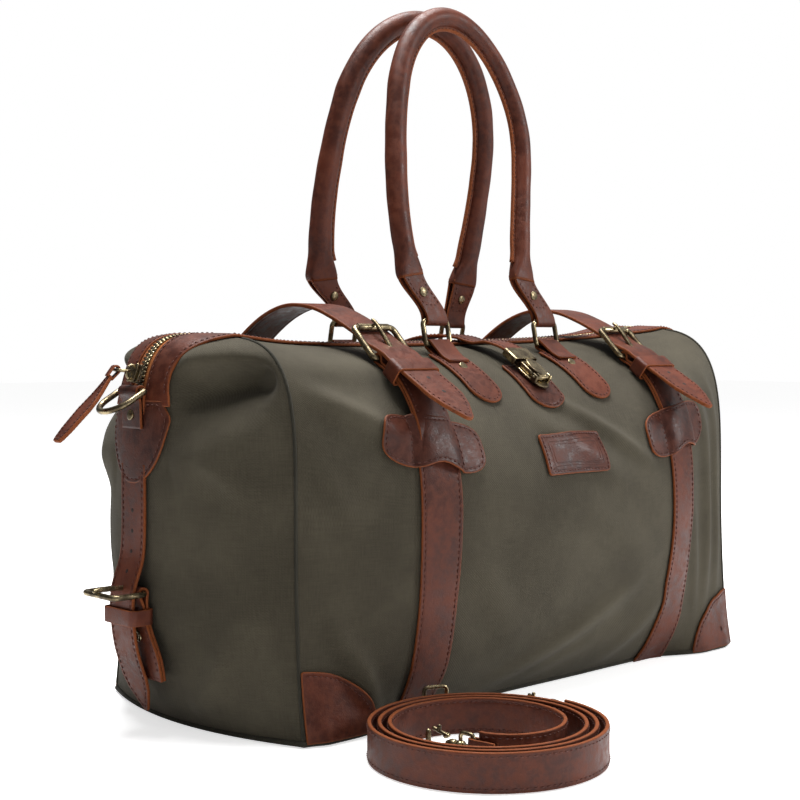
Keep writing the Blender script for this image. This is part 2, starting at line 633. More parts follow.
canvas = cloth("oliveCanvas", (0.042, 0.0355, 0.0235), (0.088, 0.076, 0.052))
hemCanvas = cloth("hemCanvas", (0.024, 0.022, 0.016), (0.052, 0.047, 0.034))
redHide = leather("redHide", (0.048, 0.0115, 0.0065), (0.102, 0.0235, 0.011), (0.17, 0.046, 0.021))
darkHide = leather("darkHide", (0.030, 0.0095, 0.007), (0.064, 0.018, 0.0105), (0.125, 0.036, 0.020), 0.40)
thread = plainStuff("redThread", (0.088, 0.022, 0.012), 0.7, 1500)
brass = metal("antiqueBrass", (0.42, 0.34, 0.20), (0.085, 0.064, 0.040), 0.27)
zipTape = cloth("zipTape", (0.20, 0.058, 0.012), (0.42, 0.135, 0.03), 0.0008)
liningCloth = cloth("liningCotton", (0.26, 0.20, 0.12), (0.42, 0.34, 0.22), 0.0009)
boardStuff = plainStuff("fibreBoard", (0.20, 0.14, 0.08), 0.8, 220)
ropeStuff = plainStuff("cottonRope", (0.55, 0.47, 0.33), 0.85, 700)
holeStuff = plainStuff("holeShadow", (0.012, 0.007, 0.005), 0.9, 400)
print("materials ready")


# canvas body
def clothShell(base, us, vs, thick, pattern):
    # an open sheet of cloth given its thickness inwards, closed round its rim
    place = offsetFrom(base)
    u, v = np.meshgrid(us, vs, indexing="ij")
    outer, inner = base(u, v), place(u, v, np.full(u.shape, -thick))
    # the rim: last outer row and column meet the inner ones, so both grids are stacked as a closed loop
    top, under = grid(outer), grid(inner)
    rows, cols = u.shape
    ids = np.arange(rows * cols).reshape(rows, cols)
    rim = np.r_[ids[0], ids[1:, -1], ids[-1, -2::-1], ids[-2:0:-1, 0]]
    n = rows * cols
    wall = np.stack([rim, np.roll(rim, -1), np.roll(rim, -1) + n, rim + n], 1)
    uv = np.stack(pattern(u, v), -1).reshape(-1, 2)
    return dict(p=np.vstack([top["p"], under["p"]]), q=np.vstack([top["q"], under["q"] + n, wall]),
                uv=np.vstack([uv, uv]), cut=np.zeros(2 * n))


def sidePanel(face, name):  # one long canvas panel, base seam to zip, paler where a fold stands up
    xs = np.linspace(-bag["seamX"], bag["seamX"], 210)
    ss = np.linspace(0.006, float(sAtY(0.0, 8.5)), 150)
    base = sideSkin(face)
    shell = clothShell(base, xs, ss, bag["canvas"], lambda x, s: (x, s * 370))
    lift = folds(shell["p"][:, 0], shell["p"][:, 2], frontFolds if face < 0 else backFolds)
    shell["cut"] = np.clip(lift / 5, 0, 1)
    makePiece(name + "_cloth", shell, canvas, "bag", [name])


def endPanel(side, name):  # a bulging end, its rows closer towards the top of the dome
    base = endSkin(side)
    rise = ridgeAt(side * bag["seamX"])
    turn = np.linspace(0, np.pi / 2, 80)[1:]
    zs = np.r_[np.linspace(1, bag["waist"], 70), bag["waist"] + (rise - 0.3 - bag["waist"]) * np.sin(turn)]

    def across(k, z):  # k runs from -1 to 1 between the seams at each height
        q = np.clip((z - bag["waist"]) / (rise - bag["waist"]), 0, 1)
        c = np.where(z > bag["waist"], np.maximum(1 - q ** 4, 1e-6) ** 0.25, 1)
        w = np.where(z < bag["waist"], ((bag["waist"] - z) / bag["waist"]) ** 2, 0)
        return base(k * (bag["bellyEnd"] * c + (bag["baseHalf"] - bag["bellyEnd"]) * w), z)
    shell = clothShell(across, np.linspace(-1, 1, 150), zs, bag["canvas"], lambda k, z: (k * 110, z))
    makePiece(name + "_cloth", shell, canvas, "bag", [name])


def rimLine():  # the bottom edge all the way round, in plan
    front, back = sideSkin(-1), sideSkin(1)
    xs = np.linspace(-bag["seamX"], bag["seamX"], 90)
    ys = np.linspace(-1, 1, 40) * bag["baseHalf"] * 0.995
    return np.vstack([front(xs, 0.006), endSkin(1)(ys, 2.0), back(xs[::-1], 0.006), endSkin(-1)(-ys, 2.0)])


sidePanel(-1, "front_panel")
sidePanel(1, "back_panel")
endPanel(-1, "end_panel_left")
endPanel(1, "end_panel_right")
rim = evenly(rimLine()[:, :2], 5, closed=True)


def floorPlace(low):  # a level place at a height
    return lambda u, v, o: np.stack(np.broadcast_arrays(u, v, low + np.asarray(o)), -1)


basePart = hidePart(rim, ((-150, 0), (150, 0)), floorPlace(0.3), 0, 2.6, step=5)
basePart["cut"] = np.zeros(len(basePart["p"]))
makePiece("base_panel_cloth", basePart, canvas, "bag", ["base_panel"])
hemPath = np.c_[rim, np.full(len(rim), 2.3)]
makePiece("base_hem", tube(hemPath, 2.1, (0, 0, 1), closed=True, sides=10), hemCanvas, "bag")


def seamWelt(x, name):  # a thin folded welt where the long panels meet the end
    s = np.linspace(0.02, 0.93, 120)
    for face, word in ((-1, "front"), (1, "back")):
        line = sideSkin(face)(np.full(120, x - np.sign(x) * 0.6), s)
        makePiece(name + "_" + word, tube(line, 1.25, (1, 0, 0), sides=8), hemCanvas, "bag")


seamWelt(-bag["seamX"], "seam_welt_left")
seamWelt(bag["seamX"], "seam_welt_right")


def liningPiece():  # a looser cotton bag inside, a little smaller than the canvas
    parts = []
    for face in (-1, 1):
        place = offsetFrom(sideSkin(face))
        parts.append(clothShell(lambda x, s, p=place: p(x, s, np.full(np.shape(x), -5.0)),
                                np.linspace(-250, 250, 40), np.linspace(0.03, 0.9, 30), 0.8,
                                lambda x, s: (x, s * 370)))
    makePiece("lining_cloth", joined(*parts), liningCloth, "bag", ["lining"])
    boardPart = hidePart(rim * [0.965, 0.93], ((-150, 0), (150, 0)), floorPlace(3.4), 0, 2.4, step=6)
    makePiece("base_board_sheet", boardPart, boardStuff, "bag", ["base_board"])


liningPiece()
print("body made")


# leather on the body
def patch(name, parts, sewn, hide, replaces):
    # leather on the bag, with its stitches as a piece of their own
    makePiece(name, joined(*parts), hide, "bag", replaces)
    makePiece(name + "_stitching", joined(*sewn), thread, "bag")


bandSizes = dict(half=18, inset=2.9, frontTop=200, backTop=226)
hideTop = bag["lift"] + bag["hide"]  # how high the face of a patch stands off the canvas


def bands(face, name, top, cadNode):  # two upright bands on one side, from the base up to a height
    parts, sewn = [], []
    for side in (-1, 1):
        x = side * bandX
        place, upTo = onSide(face, x)
        w, end = bandSizes["half"], upTo(top)
        outline = [(x - w, 2), (x + w, 2), (x + w, end), (x - w, end)]
        parts.append(hidePart(outline, ((x, 20), (x, end - 18)), place, bag["lift"], bag["hide"]))
        for u in (x - w + bandSizes["inset"], x + w - bandSizes["inset"]):
            sewn.append(stitches([(u, 5), (u, end - 4)], place, hideTop))
    patch(name, parts, sewn, redHide, [cadNode])


bands(-1, "front_band_hides", bandSizes["frontTop"], "front_bands")
bands(1, "back_band_hides", bandSizes["backTop"], "back_bands")

cornerSize = dict(along=64, up=51, seamGap=1.5, inset=3.0)


def cornerPatches():  # four quarter ellipses at the bottom corners
    parts, sewn = [], []
    gap, along, up = cornerSize["seamGap"], cornerSize["along"], cornerSize["up"]
    for face in (-1, 1):
        for side in (-1, 1):
            x = side * bag["seamX"]
            place = onSide(face, x - side * 30)[0]
            k = np.linspace(0, np.pi / 2, 30)
            curve = np.stack([x - side * along * np.cos(k), 2 + up * np.sin(k) ** 0.9], 1)
            outline = np.vstack([[(x - side * gap, 2)], curve])
            nearSeam = np.abs(outline[1:, 0]) > bag["seamX"] - gap
            outline[1:, 0] = np.where(nearSeam, x - side * gap, outline[1:, 0])
            spine = (x - side * 22, 16), (x - side * 20, 20)
            parts.append(hidePart(outline, spine, place, bag["lift"], bag["hide"]))
            line = curve + np.c_[side * 2.6 * np.cos(k), np.full(30, -cornerSize["inset"])]
            sewn.append(stitches(line[2:-2], place, hideTop))
    patch("corner_hides", parts, sewn, redHide, ["corner_patches"])


cornerPatches()

keeper = dict(wide=46, high=21, notch=7, dip=1.5, rise=7.0, channel=21, z=208)


def butterflyKeepers():
    # a bow: two round wings sewn flat, its middle standing proud over the chape, notched below
    parts, sewn = [], []
    for side in (-1, 1):
        x = side * bandX
        flat, upTo = onSide(-1, x)
        v0 = upTo(keeper["z"])

        def place(u, v, o, x=x, flat=flat):
            rise = keeper["rise"] * np.clip(1 - (np.abs(u - x) / keeper["channel"]) ** 3, 0, 1) ** 0.6
            return flat(u, v, np.asarray(o) + rise)
        a = np.radians(np.arange(0, 360, 2))
        u = keeper["wide"] * np.sign(np.cos(a)) * np.abs(np.cos(a)) ** 0.62
        v = keeper["high"] * np.sign(np.sin(a)) * np.abs(np.sin(a)) ** 0.55
        v = v + np.where(v < 0, keeper["notch"] * hump(u, 0, 15), -keeper["dip"] * hump(u, 0, 18))
        outline = np.stack([x + u, v0 + v], 1)
        spine = (x - 26, v0 + 2), (x + 26, v0 + 2)
        parts.append(hidePart(outline, spine, place, bag["lift"], bag["hide"], step=1.6))
        sewn.append(stitches(insetLine(outline, 2.9), place, hideTop))
        for k in (-1, 1):
            c = x + k * (keeper["channel"] + 1.5)
            sewn.append(stitches([(c, v0 - 15), (c, v0 + 15)], place, hideTop))
    patch("butterfly_keeper_hides", parts, sewn, darkHide, ["butterfly_keepers"])


butterflyKeepers()


label = dict(left=-36, right=39, bottom=179, top=211, borders=(8.0, 11.0), pitch=3.6)


def labelPatch():  # a plain label with two thin raised border lines
    place, upTo = onSide(-1, 0)
    left, right, low, high = label["left"], label["right"], upTo(label["bottom"]), upTo(label["top"])
    mid = (low + high) / 2
    outline = rounded([(left, low), (right, low), (right, high), (left, high)], 3)
    parts = [hidePart(outline, ((left + 16, mid), (right - 16, mid)), place, bag["lift"], bag["hide"])]
    for k in label["borders"]:
        x0, x1, v0, v1 = left + k, right - k, low + k * 0.85, high - k * 0.85
        fine = evenly(rounded([(x0, v0), (x1, v0), (x1, v1), (x0, v1)], 1.5), 1.2, closed=True)
        line = place(fine[:, 0], fine[:, 1], np.full(len(fine), hideTop - 0.1))
        parts.append(tube(line, 0.35, (0, -1, 0.3), closed=True, sides=6))
    sewn = [stitches(insetLine(outline, 2.6), place, hideTop, pitch=label["pitch"])]
    patch("label_hide", parts, sewn, darkHide, ["label_patch"])


labelPatch()
print("patches sewn")


# zip
zipSizes = dict(start=22, toothPitch=3.1, sliderAngle=17, turnX=-282, turnZ=250, turnR=45)
facingSizes = dict(half=27, wing=16, flare=6, inner=8.6, inset=3.0, innerSewn=11.4)


def zipLine():
    # the zip's middle line from the left end to the right: up the dome, along the ridge and down again
    t = np.linspace(zipSizes["start"], 90, 60)
    left = domeSkin(-1)(t, np.zeros(60))
    xs = np.linspace(-bag["seamX"], bag["seamX"], 160)[1:-1]
    top = np.stack([xs, 0 * xs, ridgeAt(xs)], -1)
    right = domeSkin(1)(t[::-1], np.zeros(60))
    return np.vstack([left, top, right])


zipRun = zipLine()
zipFar = np.r_[0, np.cumsum(np.linalg.norm(np.diff(zipRun, axis=0), axis=1))]
zipLength = zipFar[-1]


def topSkin(v, y):
    # (length along the zip, y) to a point on the top, whichever part of the bag it is on
    v, y = np.broadcast_arrays(np.asarray(v, float), np.asarray(y, float))
    leftT = np.interp(v, zipFar[:60], np.linspace(zipSizes["start"], 90, 60))
    rightT = np.interp(v, zipFar[-60:], np.linspace(90, zipSizes["start"], 60))
    x = np.interp(v, zipFar[59:-59], zipRun[59:-59, 0])
    rise = ridgeAt(x) - bag["waist"]
    n = squareAt(x)
    z = bag["waist"] + rise * np.clip(1 - (np.abs(y) / bellyAt(x)) ** n, 0, 1) ** (1 / n)
    middle = np.stack([x, y, z], -1)
    first, last = (v < zipFar[59])[..., None], (v > zipFar[-60])[..., None]
    return np.where(first, domeSkin(-1)(leftT, y), np.where(last, domeSkin(1)(rightT, y), middle))


topPlace = offsetFrom(topSkin)


def facingHalf(v):  # how wide the facing is from the middle: wider over each end seam
    seamFar = np.minimum(np.abs(v - zipFar[59]), np.abs(v - zipFar[-60]))
    tipFar = np.minimum(v, zipLength - v)
    size = facingSizes
    wing = size["wing"] * hump(np.maximum(seamFar - 8, 0), 0, 40)
    return size["half"] + wing + size["flare"] * hump(tipFar, 0, 16)


def facings():  # the two long leather strips beside the zip, each with a row of stitches at both edges
    parts, sewn = [], []
    v = np.linspace(3, zipLength - 3, 260)
    half, inner = facingHalf(v), np.full(260, facingSizes["inner"])
    for face in (-1, 1):
        outline = np.vstack([np.stack([v, face * half], 1), np.stack([v[::-1], face * inner], 1)])
        spine = (20, face * 18), (zipLength - 20, face * 18)
        parts.append(hidePart(outline, spine, topPlace, bag["lift"], bag["hide"]))
        for y in (half - facingSizes["inset"], np.full(260, facingSizes["innerSewn"])):
            sewn.append(stitches(np.stack([v, face * y], 1)[3:-3], topPlace, hideTop))
    patch("zip_facing_hides", parts, sewn, redHide, ["zip_facings"])


facings()


def zipChain():  # two flat cloth tapes, and teeth set over their inner edges
    parts = []
    for face in (-1, 1):
        v, y = np.meshgrid(np.linspace(3, zipLength - 3, 300), np.linspace(2.0, 9.5, 5), indexing="ij")
        rows = [topPlace(v[:, k], face * y[:, k], np.full(300, 1.3 + 0.25 * (k % 2))) for k in range(5)]
        rows += [topPlace(v[:, k], face * y[:, k], np.full(300, 0.7)) for k in range(4, -1, -1)]
        ring = grid(np.stack(rows, 1), wrapCols=True)
        ring["uv"] = np.stack([np.repeat(v[:, 0], 10), np.tile(np.r_[y[0], y[0][::-1]], 300)], 1)
        parts.append(ring)
    makePiece("zip_tape_cloth", joined(*parts), zipTape, "bag", ["zip_tapes"])
    # teeth: small rounded blocks, one row half a pitch behind the other
    teeth = []
    shape = np.array([(0.75, -0.35), (1.0, 0.35), (0.8, 1.0), (-0.8, 1.0), (-1.0, 0.35), (-0.75, -0.35)])
    for face in (-1, 1):
        at = np.arange(9 + (face > 0) * zipSizes["toothPitch"] / 2, zipLength - 6, zipSizes["toothPitch"])
        reach = np.array([4.2, 4.0, 1.2, -0.3, -0.7]) * face
        wide = np.array([0.5, 0.95, 0.85, 0.95, 0.4])
        high = np.array([0.6, 1.0, 1.0, 1.0, 0.5])
        v = at[:, None, None] + shape[None, None, :, 0] * wide[None, :, None]
        y = np.broadcast_to(reach[None, :, None], v.shape)
        o = 1.5 + 1.35 * shape[None, None, :, 1] * high[None, :, None] + 0 * v
        p = topPlace(v, y, o)
        quads = grid(np.zeros((5, 6, 3)), wrapCols=True)["q"]
        caps = np.array([(0, 1, 2, 3), (0, 3, 4, 5), (24, 25, 26, 27), (24, 27, 28, 29)])
        one = np.vstack([quads, caps])
        q = (one[None] + 30 * np.arange(len(at))[:, None, None]).reshape(-1, 4)
        teeth.append(dict(p=p.reshape(-1, 3), q=q))
    makePiece("zip_teeth_row", joined(*teeth), brass, "bag", ["zip_teeth"])


zipChain()
print("zip made")


# straps, loops and bars
def sweep(path, side, shape, closed=False):
    # a section (normal, side) carried along a flat path, one section or one for each point; ends drawn shut
    p = np.asarray(path, float)
    t = unit(np.roll(p, -1, 0) - np.roll(p, 1, 0)) if closed else unit(np.gradient(p, axis=0))
    b = unit(np.broadcast_to(np.asarray(side, float), p.shape))
    n = unit(np.cross(b, t))
    shape = np.broadcast_to(shape, (len(p),) + np.shape(shape)[-2:])
    ring = p[:, None] + shape[..., 0:1] * n[:, None] + shape[..., 1:2] * b[:, None]
    far = np.r_[0, np.cumsum(np.linalg.norm(np.diff(p, axis=0), axis=1))]
    if not closed:
        first, last = (np.broadcast_to(ring[k].mean(0), (1,) + ring[k].shape) for k in (0, -1))
        ring = np.concatenate([first, ring, last])
        far = np.r_[far[0], far, far[-1]]
    part = grid(ring, wrapRows=closed, wrapCols=True)
    around = np.arange(ring.shape[1]) * 2.0
    part["uv"] = np.stack([np.repeat(far, ring.shape[1]), np.tile(around, len(ring))], 1)
    return part


def slab(thick, wide, corner=0.55):
    # the section of a strip: thick along the normal, wide across, corners eased
    a, b = thick / 2, wide / 2
    return rounded([(-a, -b), (a, -b), (a, b), (-a, b)], corner, 4)


def band(path, side, thick, wide, closed=False):  # a leather strip with raw edges at both sides
    section = slab(thick, wide)
    part = sweep(path, side, section, closed)
    raw = (np.abs(section[:, 1]) > wide / 2 - 0.5).astype(float)
    part["cut"] = np.tile(raw, len(part["p"]) // len(section))
    return part


def inYZ(points, x):  # (y, z) pairs in the plane at x
    p = np.asarray(points, float)
    return np.c_[np.full(len(p), float(x)), p]


def inXZ(points):  # (x, z) pairs in the middle plane
    p = np.asarray(points, float)
    return np.c_[p[:, 0], np.zeros(len(p)), p[:, 1]]


def strapPart(outline, place, thick):
    # a strap cut to an outline and laid half its thickness each side of a line
    v = outline[:, 1]
    return hidePart(outline, ((0, v.min() + 14), (0, v.max() - 14)), place, -thick / 2, thick)


def strapHole(place, v, radius, level):  # a dark punched hole, a shallow disc on a strap's face
    at = place(0.0, v, level)
    disc = [(0, 0.12), (radius, 0.12), (radius + 0.2, 0), (radius, -0.4), (0, -0.4)]
    return turned(disc, at, place(0.0, v, level + 1) - at, 20)


def rivetAt(point, axis, radius=4.0, height=1.3):  # a low domed rivet head with a rolled rim
    k = np.linspace(0, 1, 7)
    dome = [(radius * 0.86 * a, height * (0.62 + 0.38 * (1 - a ** 2))) for a in k]
    rest = [(radius, height * 0.5), (radius, 0.0), (radius * 0.9, -0.8), (0, -0.8)]
    return turned(dome + rest, point, axis, 36)


# the buckle lies back at a slope: into runs up it, from its heel to the roller, and out stands square to it
overStrap = dict(heel=(-94, 272.5), slope=45, long=34, frameHalf=20.5, wire=2.5, half=18, thick=3.0,
                 holes=3, firstHole=34, holeGap=19.0, rolled=15.9,
                 # how far back from the tip, and half the width there
                 tip=((36, 18), (30, 17.4), (18, 13.2), (7, 6.8), (1.5, 3.6), (0, 1.6)))
into = np.array([np.cos(np.radians(overStrap["slope"])), np.sin(np.radians(overStrap["slope"]))])
out = np.array([-into[1], into[0]])
heel = np.array(overStrap["heel"])
rollerAt = heel + overStrap["long"] * into


def overStraps():  # two straps from the back over the top, through their buckles, with pointed tips
    thick = overStrap["thick"]
    for side, word in ((-1, "left"), (1, "right")):
        x = side * bandX
        line = [(139, 226), (128, 243), (105, 266), (75, 290), (45, 307), (15, 315), (-15, 313), (-40, 305),
                rollerAt - 5 * out, heel + 17 * into - 0.4 * out, heel + 6.6 * out,
                heel + 6.6 * out + [-14, -9], (-145, 249), (-176, 229)]
        path = inYZ(curveThrough(line, 2.0), x)
        place, length = onPath(path, (1, 0, 0))
        tip = [(length - back, half) for back, half in overStrap["tip"]]
        outline = tongue([(0, overStrap["half"])] + tip)
        part = strapPart(outline, place, thick)
        face = placeTowards(path, (1, 0, 0), (0, 1, 0))
        edge = insetLine(outline, 3.0)
        sewn = [stitches(edge[edge[:, 1] > length - 58], face, thick / 2)]
        sewn += [stitches(line, face, thick / 2) for line in
                 ([(-15, 4), (15, 4)], [(-15, 4), (-15, 40)], [(15, 4), (15, 40)])]
        last, gap = length - overStrap["firstHole"], overStrap["holeGap"]
        holes = [strapHole(face, last - gap * k, 1.7, 1.4) for k in range(overStrap["holes"])]
        makePiece("over_strap_" + word, part, redHide, "bag", ["strap_" + word])
        makePiece("over_strap_%s_stitching" % word, joined(*sewn), thread, "bag")
        makePiece("over_strap_%s_holes" % word, joined(*holes), holeStuff, "bag")


overStraps()


def overBuckles():
    # wire frames with rollers and prongs, the doubled chapes that hold them, and keeper loops
    frames, chapes, sewn, keepers = [], [], [], []
    wide, long = overStrap["frameHalf"], overStrap["long"]
    for side, word in ((-1, "left"), (1, "right")):
        x = side * bandX
        loop = evenly(rounded([(-wide, 0), (wide, 0), (wide, long), (-wide, long)], 5, 8), 1.5, closed=True)
        path = np.c_[x + loop[:, 0], heel[0] + into[0] * loop[:, 1], heel[1] + into[1] * loop[:, 1]]
        frames.append(tube(path, overStrap["wire"], (0, out[0], out[1]), closed=True, sides=16))
        w = overStrap["rolled"]
        rolled = [(2.2, -w), (2.8, -w), (2.95, 0.4 - w), (2.95, w - 0.4), (2.8, w), (2.2, w), (2.2, -w)]
        makePiece("buckle_roller_" + word, turned(rolled, (x, *rollerAt), (1, 0, 0), 32), brass,
                  "roller_" + word, ["roller_" + word])
        hook = np.r_[arc((0, 0), 2.9, -190, -270, 14), [[4, 3.0], [14, 3.9], [26, 4.9], [34, 5.0], [38, 4.2]]]
        hook = curveThrough(hook, 1.2)
        line = heel + hook[:, :1] * into + hook[:, 1:] * out
        k = np.linspace(0, 1, len(line))
        makePiece("buckle_prong_%s_wire" % word, tube(inYZ(line, x), 2.0 - 0.6 * k ** 3, (1, 0, 0)), brass,
                  "buckle_prong_" + word, ["buckle_prong_" + word])
        low = [(-140, 211), (-137, 224), (-126.2, 244.1), (-113.3, 259.2), heel + [-4, -4.5]]
        low = curveThrough(low, 2.0)
        t = unit(np.gradient(low, axis=0))
        n = np.stack([t[:, 1], -t[:, 0]], 1) * 1.2  # half the gap between the two layers, to the bag's side
        around = np.vstack([low - n, arc(heel, 3.9, 205, -40, 16), (low + n)[::-1][4:]])
        chapes.append(band(inYZ(evenly(around, 1.6), x), (1, 0, 0), 2.1, 34))
        face = placeTowards(inYZ(low - n, x), (1, 0, 0), (0, -1, 0))
        sewn += [stitches([(u, 22), (u, 58)], face, 1.1) for u in (-14, 14)]
        loop = rounded([(-20.6, -7.2), (20.6, -7.2), (20.6, 7.0), (-20.6, 7.0)], 3.2, 6)
        loop = evenly(loop, 1.2, closed=True)
        c, s = np.cos(np.radians(36)), np.sin(np.radians(36))
        path = np.c_[x + loop[:, 0], -113.4 - s * loop[:, 1], 262.8 + c * loop[:, 1]]
        keepers.append(band(path, (0, c, s), 1.9, 14, closed=True))
    makePiece("buckle_frame_wires", joined(*frames), brass, "bag", ["buckle_frames"])
    patch("buckle_chape_hides", chapes, sewn, darkHide, ["buckle_chapes"])
    makePiece("strap_keeper_hides", joined(*keepers), redHide, "bag", ["strap_keepers"])


overBuckles()
print("over straps made")


# centre strap and clasp
def topHeight(y):  # height over the middle, a superellipse that stands a little off the canvas
    gap, power = 2.1, squareAt(0.0)
    rise = (1 - (abs(y) / (bag["bellyMid"] + gap)) ** power) ** (1 / power)
    return bag["waist"] + (ridgeAt(0.0) - bag["waist"] + gap) * rise


claspAt, claspTilt = np.array([0, -101, 262.0]), np.radians(36)
clasp = dict(strapHalf=12, tabHalf=20, tabLow=231, tabHigh=264, earAt=8.4, pinAt=(-13, 3), pinHalf=10.4)


def onClasp(points):  # the clasp's own frame, leaned onto the slope of the front
    p = np.asarray(points, float)
    c, s = np.cos(claspTilt), np.sin(claspTilt)
    return claspAt + np.stack([p[..., 0], p[..., 1] * c - p[..., 2] * s, p[..., 1] * s + p[..., 2] * c], -1)


def claspPlace(u, v, o):  # the same for outlines, o standing off the plate
    return onClasp(np.stack(np.broadcast_arrays(u, v, o), -1))


def centrePieces():  # the strap over the zip, its tab on the front, and the clasp between them
    ys = [122, 114, 104, 92, 78, 62, 44, 24, 0, -24, -44]
    line = [(y, topHeight(y) + 5 * max(0, 1 - (y / 75) ** 2)) for y in ys] + [(-60, 285.3)]
    line += [tuple(onClasp([0, 27, 2.3])[1:]), tuple(onClasp([0, 13, 2.3])[1:])]
    path = inYZ(curveThrough(line, 2.0), 0)
    place, length = onPath(path, (1, 0, 0))
    part = strapPart(tongue([(0, clasp["strapHalf"]), (length, clasp["strapHalf"])]), place, 2.4)
    face = placeTowards(path, (1, 0, 0), (0, 1, 0))
    sewn = [stitches([(u, 3), (u, length - 14)], face, 1.2) for u in (-9.3, 9.3)]
    patch("centre_strap_hide", [part], sewn, redHide, ["centre_strap"])
    flat, upTo = onSide(-1, 0)
    low, high, half = upTo(clasp["tabLow"]), upTo(clasp["tabHigh"]), clasp["tabHalf"]
    outline = tongue(np.r_[roundTip(low + 15, low, half)[::-1], [(high, half)]])
    part = hidePart(outline, ((0, low + 16), (0, high - 12)), flat, bag["lift"], bag["hide"])
    sewn = [stitches(insetLine(outline, 2.8), flat, hideTop)]
    patch("centre_tab_hide", [part], sewn, darkHide, ["centre_tab"])
    # clasp: oval plate, raised block, ears and hinge pin, and the flat sleeve the strap ends in
    a = np.radians(np.arange(0, 360, 4))
    plate = np.stack([11 * np.cos(a), -1 + 21.5 * np.sin(a)], 1)
    block = rounded([(-8, -8), (8, -8), (8, 8), (-8, 8)], 2.2, 6)
    body = [hidePart(plate, ((0, -8), (0, 6)), claspPlace, -2.6, 2.2, step=1.2),
            hidePart(block, ((-2, 0), (2, 0)), claspPlace, -0.6, 4.4, step=1.0)]
    sleeve = rounded([(-13.4, -1.4), (13.4, -1.4), (13.4, 5.2), (-13.4, 5.2)], 1.8, 6)
    sleeve = evenly(sleeve, 1.0, closed=True)
    sleeve = onClasp(np.c_[sleeve[:, 0], np.full(len(sleeve), 16.5), sleeve[:, 1]])
    body.append(sweep(sleeve, onClasp([0, 1, 0]) - claspAt, slab(0.9, 15, 0.4), closed=True))
    ear = rounded([(-16.4, -2.4), (-9.6, -2.4), (-9.6, 5.2), (-16.4, 5.2)], 2, 5)
    for k in (-1, 1):
        def beside(u, v, o, k=k):
            return onClasp(np.stack(np.broadcast_arrays(k * clasp["earAt"] + o, u, v), -1))
        body.append(hidePart(ear, ((-13, 1), (-13, 2)), beside, -1.3, 2.6, step=0.8))
    pin = onClasp([(x, *clasp["pinAt"]) for x in np.linspace(-clasp["pinHalf"], clasp["pinHalf"], 8)])
    body.append(tube(pin, 1.2, onClasp([0, 0, 1]) - claspAt))
    makePiece("clasp_body_metal", joined(*body), brass, "bag", ["clasp_body"])
    leaf = tongue([(-16.2, 0.8), (-14.8, 3.4), (-12, 5.4), (-7, 6.7), (-1, 6.7), (4, 5.4), (7, 3.4)], 0.6)
    sheetLeaf = hidePart(leaf, ((0, -10), (0, 1)), claspPlace, 4.5, 2.0, step=0.8)
    barrel = [(1.5, -6.1), (2.4, -6.1), (2.7, -5.7), (2.7, 5.7), (2.4, 6.1), (1.5, 6.1), (1.5, -6.1)]
    knuckle = turned(barrel, onClasp([0, *clasp["pinAt"]]), (1, 0, 0), 28)
    makePiece("clasp_lever_leaf", joined(sheetLeaf, knuckle), brass, "clasp_lever", ["clasp_lever"])


centrePieces()
print("clasp made")


# handles
ringLow, ringHigh = np.array([-60.0, 283.0]), np.array([-56.0, 303.0])
handle = dict(radius=8.7, foot=36.5, footWide=12.6, footThick=5.8, top=270, arch=118, archX=78,
              frontLean=10, backLean=7.5, seamWide=3.4, seamThick=4.4, rope=5.6, tabWide=23)


def stand(face, points):  # from the handle's own upright plane to its place over the rings, leaned inwards
    lean = np.radians(handle["frontLean"] if face < 0 else handle["backLean"])
    p = np.asarray(points, float)
    y = ringHigh[0] + p[..., 1] * np.cos(lean) + p[..., 2] * np.sin(lean)
    z = ringHigh[1] - p[..., 1] * np.sin(lean) + p[..., 2] * np.cos(lean)
    # the soft tabs lean sideways over their rings, more on the left legs, and the legs come back above them
    rise, back = smooth(2, 40, p[..., 2]), smooth(55, 200, p[..., 2])
    right = np.clip(p[..., 0] / handle["archX"] / 2 + 0.5, 0, 1)
    if face < 0:
        shift = -22 * rise * (1 - 0.75 * back)
    else:
        shift = rise * ((1 - right) * -34 * (1 - 0.45 * back) + right * 10)
    return np.stack([p[..., 0] + shift, y if face < 0 else -y, z], -1)


